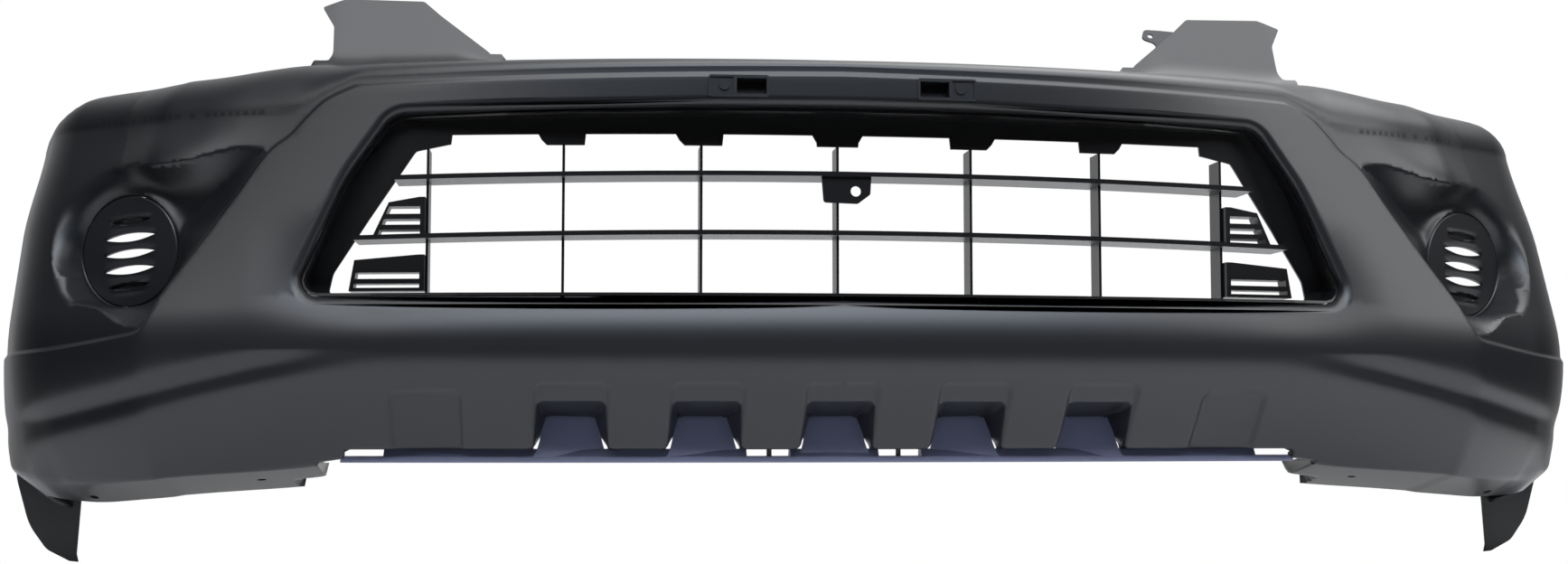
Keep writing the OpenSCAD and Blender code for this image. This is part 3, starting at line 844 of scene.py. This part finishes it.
def build_guide():
    """The lip strip along the teeth, with one flared ramp in each pocket."""
    slots = (-431, -85, -43, 43, 85, 431)
    plain = [x for x in np.linspace(-472, 472, 95) if min(abs(x - s) for s in slots) > 2]
    stations = sorted(plain + [s + e for s in slots for e in (-0.1, 0.1)])
    verts, faces = [], []
    for x in stations:
        verts += [(x, lip_y(x) + y, z) for y, z in ledge_section(x)]
    n = len(ledge_section(0))
    for i in range(len(stations) - 1):
        for j in range(n):
            k = (j + 1) % n
            faces.append((i * n + j, i * n + k, i * n + n + k, i * n + n + j))
    last = (len(stations) - 1) * n
    faces += [tuple(range(n))[::-1], tuple(last + j for j in range(n))]
    across, up = np.linspace(-1, 1, 17), np.linspace(0, 1, 15)
    for i in range(-2, 3):
        base = len(verts)
        c = i * NOTCH_PITCH
        for back in (0, 2.4):
            for t in up:
                half = 25.5 + 6.5 * (1 - t) + 4 * (1 - t) ** 6
                for a in across:
                    y = lip_y(c) + 2.0 + 15 * t + 1.2 * smooth(0.93, 1, t) + back
                    verts.append((c + a * half, y, 108.6 + 41.5 * t - 0.5 * smooth(0.95, 1, t) * a * a))
        w, m = len(across), len(across) * len(up)
        for r in range(len(up) - 1):
            for q in range(w - 1):
                a = base + r * w + q
                faces += [(a, a + 1, a + w + 1, a + w), (m + a, m + a + w, m + a + w + 1, m + a + 1)]
        for r in range(len(up) - 1):
            a, b = base + r * w, base + r * w + w - 1
            faces += [(a, a + w, m + a + w, m + a), (b, m + b, m + b + w, b + w)]
        for q in range(w - 1):
            a, b = base + q, base + (len(up) - 1) * w + q
            faces += [(a, m + a, m + a + 1, a + 1), (b, b + 1, m + b + 1, m + b)]
    obj = add_mesh("air_guide", np.array(verts), faces)
    obj.data.set_sharp_from_angle(angle=math.radians(35))
    return obj


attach(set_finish(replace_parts(build_guide(), "lower_air_guide"), "guide"), "cover")


# ---------------------------------------------------------------- fog lamp blanks
SLITS = (-34, -18, -2, 14, 30)  # heights from the centre
OPEN_SLITS = (1, 2, 3)
SLIT_TURN = math.radians(-5)


def slit_outline(k, grow=0.0, n=20):
    """Lens shaped slit k: two arcs of radius 107 that meet at its tips."""
    half = math.acos(103 / 107)
    a = np.linspace(-half, half, n + 1)
    up = np.stack((107 * np.sin(a), 107 * np.cos(a) - 103), 1)
    ring = np.vstack((up, -up[1:-1]))
    ring = ring * (1 if k in OPEN_SLITS else 0.8, 1) * (1 + grow / 29, 1 + grow / 4)
    c, s = math.cos(SLIT_TURN), math.sin(SLIT_TURN)
    return ring @ np.array(((c, s), (-s, c))) + (0, SLITS[k])


def blank_height(x, y):
    """Height of a blank's face: a slight dome, a lip over each slit and a dished floor in the blind ones."""
    z = -0.6 + 0.6 * (1 - (x * x + y * y) / 54 ** 2)
    c, s = math.cos(-SLIT_TURN), math.sin(-SLIT_TURN)
    for k, level in enumerate(SLITS):
        u = c * x - s * (y - level)
        w = s * x + c * (y - level)
        wide = 30 if k in OPEN_SLITS else 24
        arch = np.clip(1 - (u / wide) ** 2, 0, 1)
        lip = np.clip((w - 0.5) / 6.5, 0, 1)
        z = z + 2.8 * np.sqrt(arch) * np.where(w > 0.5, smooth(0, 0.25, lip) * (1 - lip) ** 1.2, 0)
        z = z - 1.6 * arch * np.exp(-(((w + 5.5) / 2.6) ** 2))
        if k not in OPEN_SLITS:
            z = z - 3.0 * smooth(0, 1, np.clip(1 - (u / wide) ** 2 - np.abs(w) / 3.6, 0, 1) * 3)
    return z


def build_blank(side, sign):
    """A domed disc with three open slits and two blind ones, and a short skirt behind its rim."""
    n_ring = 96
    ang = np.linspace(0, 2 * math.pi, n_ring, endpoint=False)
    circle = np.stack((np.cos(ang), np.sin(ang)), 1)
    chamfer_r = BLANK_R - 1.2
    loops = [circle * BLANK_R, circle * chamfer_r] + [slit_outline(k) for k in OPEN_SLITS]
    fixed, ties = tied(loops + [slit_outline(k, 1.2) for k in OPEN_SLITS], wrap=True)
    gx, gy = np.meshgrid(np.arange(-54, 54, 1.7), np.arange(-54, 54, 1.3))
    fill = np.stack((gx.ravel(), gy.ravel()), 1)
    fill = fill[np.hypot(*fill.T) < BLANK_R - 2]
    gap = np.min(np.hypot(fill[:, None, 0] - fixed[None, :, 0], fill[:, None, 1] - fixed[None, :, 1]), axis=1)
    pts = np.vstack((fixed, fill[gap > 0.9]))
    out = delaunay_2d_cdt([Vector(q) for q in pts], ties, [], 0, 1e-4)
    flat = np.array([tuple(q) for q in out[0]])
    tri = np.array(list(out[2]))
    mid = flat[tri].mean(axis=1)
    keep = inside(mid, loops[0])
    for hole in loops[2:]:
        keep &= ~inside(mid, hole)
    tri = tri[keep]
    n = len(flat)
    edge = np.maximum(0, np.hypot(*flat.T) - chamfer_r)
    front = np.column_stack((flat, blank_height(flat[:, 0], flat[:, 1]) - edge * 0.9))
    back = np.column_stack((flat, np.full(n, -3.2)))
    faces = [tuple(f) for f in tri] + [tuple(f[::-1] + n) for f in tri]
    faces += [(b, a, a + n, b + n) for a, b in rim_edges(tri)]
    skirt = ((BLANK_R - 0.1, -3), (BLANK_R - 0.1, -11), (BLANK_R - 2.3, -11), (BLANK_R - 2.3, -3))
    ring = np.vstack([np.column_stack((circle * r, np.full(n_ring, z))) for r, z in skirt])
    for row in range(len(skirt) - 1):
        a = 2 * n + row * n_ring
        b = a + n_ring
        for i in range(n_ring):
            j = (i + 1) % n_ring
            faces.append((a + i, b + i, b + j, a + j))
    p = np.vstack((front, back, ring))
    place = FOG_AT + np.outer(p[:, 0], FOG_X) + np.outer(p[:, 1], (0, 0, 1)) + np.outer(p[:, 2], FOG_OUT)
    if sign < 0:
        place = place * (-1, 1, 1)
        faces = [f[::-1] for f in faces]
    obj = add_mesh(f"blank_{side}", place, faces)
    obj.data.set_sharp_from_angle(angle=math.radians(40))
    return obj


for side, sign in SIDES:
    blank = build_blank(side, sign)
    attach(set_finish(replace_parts(blank, f"fog_blank_{side}"), "blank"), f"fog_blank_{side}")


# ---------------------------------------------------------------- materials
def plastic(name, colour, rough, grain, depth, spread=0.25, gloss=0.5):
    """Moulded plastic: a leathery grain of the given size in metres over a faint cloudiness."""
    mat = bpy.data.materials.new(name)
    mat.use_nodes = True
    nodes, links = mat.node_tree.nodes, mat.node_tree.links
    shader = nodes["Principled BSDF"]
    shader.inputs["Specular IOR Level"].default_value = gloss
    place = nodes.new("ShaderNodeTexCoord")

    def noise(scale, detail):
        node = nodes.new("ShaderNodeTexNoise")
        node.inputs["Scale"].default_value = scale
        node.inputs["Detail"].default_value = detail
        node.inputs["Roughness"].default_value = 0.55
        links.new(place.outputs["Object"], node.inputs["Vector"])
        return node

    cells = nodes.new("ShaderNodeTexVoronoi")
    cells.feature = "SMOOTH_F1"
    cells.inputs["Scale"].default_value = 1 / grain
    cells.inputs["Smoothness"].default_value = 0.6
    links.new(place.outputs["Object"], cells.inputs["Vector"])
    fine = noise(2.3 / grain, 3)
    join = nodes.new("ShaderNodeMath")
    join.operation = "MULTIPLY_ADD"
    join.inputs[1].default_value = 0.6
    links.new(fine.outputs["Fac"], join.inputs[0])
    links.new(cells.outputs["Distance"], join.inputs[2])
    bump = nodes.new("ShaderNodeBump")
    bump.inputs["Strength"].default_value = 0.35
    bump.inputs["Distance"].default_value = depth
    links.new(join.outputs[0], bump.inputs["Height"])
    links.new(bump.outputs["Normal"], shader.inputs["Normal"])
    cloud = noise(9, 4)
    tint = nodes.new("ShaderNodeValToRGB")
    tint.color_ramp.elements[0].position = 0.3
    tint.color_ramp.elements[1].position = 0.75
    tint.color_ramp.elements[0].color = (*[c * (1 - spread / 2) for c in colour], 1)
    tint.color_ramp.elements[1].color = (*[c * (1 + spread / 2) for c in colour], 1)
    links.new(cloud.outputs["Fac"], tint.inputs["Fac"])
    links.new(tint.outputs["Color"], shader.inputs["Base Color"])
    span = nodes.new("ShaderNodeMapRange")
    span.inputs["To Min"].default_value = rough - 0.04
    span.inputs["To Max"].default_value = rough + 0.05
    links.new(fine.outputs["Fac"], span.inputs["Value"])
    links.new(span.outputs["Result"], shader.inputs["Roughness"])
    return mat


def coated_steel(name, colour, rough):
    """Black coated steel: a shallow grain, partly metallic."""
    mat = plastic(name, colour, rough, 0.0009, 0.00002, 0.4)
    mat.node_tree.nodes["Principled BSDF"].inputs["Metallic"].default_value = 0.6
    return mat


COVER = plastic("cover_grain", (0.0055, 0.0061, 0.0074), 0.38, 0.0009, 0.00006)
# painted reflection: the guide is black plastic, and its light bluish base colour stands in for the blue
# sheen its ramps catch from the lamps; only the grain is its own
GUIDE_PAINTED_SHEEN = plastic("guide_grain", (0.110, 0.120, 0.200), 0.46, 0.0007, 0.00004, gloss=0.9)
GRILLE = plastic("grille_satin", (0.0045, 0.0045, 0.005), 0.32, 0.0016, 0.00002, 0.2)
BLANK = plastic("blank_grain", (0.009, 0.009, 0.0105), 0.42, 0.0008, 0.00005)
SOCKET = plastic("socket_satin", (0.014, 0.015, 0.017), 0.33, 0.0012, 0.00002)
PLUG = plastic("plug_satin", (0.008, 0.008, 0.009), 0.38, 0.0010, 0.00003)
STEEL = coated_steel("bracket_coat", (0.03, 0.03, 0.032), 0.42)
SCREW = coated_steel("screw_coat", (0.05, 0.05, 0.052), 0.36)
FINISH = {"cover": COVER, "guide": GUIDE_PAINTED_SHEEN, "grille": GRILLE, "blank": BLANK, "socket": SOCKET, "plug": PLUG,
          "bracket": STEEL, "screw": SCREW}
for part in frame["record"]["subparts"]:
    node = frame["nodes"][part["node"]]
    node.data.materials.clear()
    node.data.materials.append(FINISH[part["material_slot"]])
for obj in bpy.data.objects:
    if obj.type == "MESH" and "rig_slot" in obj and obj.name not in frame["nodes"]:
        obj.data.materials.append(FINISH[obj["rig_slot"]])


# ---------------------------------------------------------------- studio
def split_view(tree, to_light, to_camera, surface):
    """Show one shader to the camera and the other one to all the light."""
    path = tree.nodes.new("ShaderNodeLightPath")
    mixer = tree.nodes.new("ShaderNodeMixShader")
    tree.links.new(path.outputs["Is Camera Ray"], mixer.inputs["Fac"])
    tree.links.new(to_light, mixer.inputs[1])
    tree.links.new(to_camera, mixer.inputs[2])
    tree.links.new(mixer.outputs["Shader"], surface)


def studio_floor():
    """White to the camera, and light grey paper to the light."""
    bm = bmesh.new()
    bmesh.ops.create_grid(bm, x_segments=8, y_segments=8, size=1.1)
    me = bpy.data.meshes.new("floor")
    bm.to_mesh(me)
    bm.free()
    floor = bpy.data.objects.new("floor", me)
    floor.location.y = 0.35
    bpy.context.collection.objects.link(floor)
    paper = bpy.data.materials.new("paper")
    paper.use_nodes = True
    nodes = paper.node_tree.nodes
    grey = nodes["Principled BSDF"]
    grey.inputs["Base Color"].default_value = (0.8, 0.8, 0.8, 1)
    grey.inputs["Roughness"].default_value = 0.9
    glow = nodes.new("ShaderNodeEmission")
    split_view(paper.node_tree, grey.outputs["BSDF"], glow.outputs["Emission"],
               nodes["Material Output"].inputs["Surface"])
    me.materials.append(paper)


def soft_light(name, at, aim, size, power, colour=(1, 1, 1)):
    """Rectangular lamp at one point, aimed at another."""
    light = bpy.data.lights.new(name, "AREA")
    light.shape = "RECTANGLE"
    light.size, light.size_y = size
    light.energy = power
    light.color = colour
    obj = bpy.data.objects.new(name, light)
    obj.location = at
    obj.rotation_euler = (Vector(aim) - Vector(at)).to_track_quat("-Z", "Y").to_euler()
    bpy.context.collection.objects.link(obj)


def white_world(front, rear):
    """White behind the object; the light it gives is dim from the front and bright from behind."""
    world = bpy.data.worlds.new("studio")
    world.use_nodes = True
    nodes, links = world.node_tree.nodes, world.node_tree.links
    seen = nodes.new("ShaderNodeBackground")
    seen.inputs["Color"].default_value = (1, 1, 1, 1)
    seen.inputs["Strength"].default_value = 1.0
    lit = nodes["Background"]
    lit.inputs["Color"].default_value = (0.97, 0.98, 1, 1)
    way = nodes.new("ShaderNodeTexCoord")
    axes = nodes.new("ShaderNodeSeparateXYZ")
    ramp = nodes.new("ShaderNodeMapRange")
    ramp.inputs["From Min"].default_value = 0.05
    ramp.inputs["From Max"].default_value = 0.75
    ramp.inputs["To Min"].default_value = front
    ramp.inputs["To Max"].default_value = rear
    links.new(way.outputs["Generated"], axes.inputs["Vector"])
    links.new(axes.outputs["Y"], ramp.inputs["Value"])
    links.new(ramp.outputs["Result"], lit.inputs["Strength"])
    split_view(world.node_tree, lit.outputs["Background"], seen.outputs["Background"],
               nodes["World Output"].inputs["Surface"])
    bpy.context.scene.world = world


studio_floor()
white_world(0.02, 0.7)
soft_light("overhead", (0.5, -0.4, 2.4), (0.2, -0.1, 0.2), (4.4, 2.8), 150, (0.98, 0.99, 1))
soft_light("front_sky", (0, -2.0, 2.3), (0, -0.1, 0.2), (2.6, 0.9), 48, (0.66, 0.78, 1))
soft_light("front_left", (-1.9, -2.0, 2.1), (-0.4, -0.1, 0.3), (1.1, 0.9), 17)
soft_light("front_right", (2.8, -1.5, 1.95), (0.4, -0.1, 0.3), (1.2, 1.2), 32)

bpy.context.scene.view_settings.view_transform = "Standard"
camera_data = bpy.data.cameras.new("camera")
camera_data.sensor_width = 36
camera_data.lens = 43.5735
camera = bpy.data.objects.new("camera", camera_data)
camera.location = (-0.2489, -1.9678, 0.137)
camera.rotation_euler = (math.radians(90 + 4.38), 0, math.radians(-6.26))
bpy.context.collection.objects.link(camera)
bpy.context.scene.camera = camera
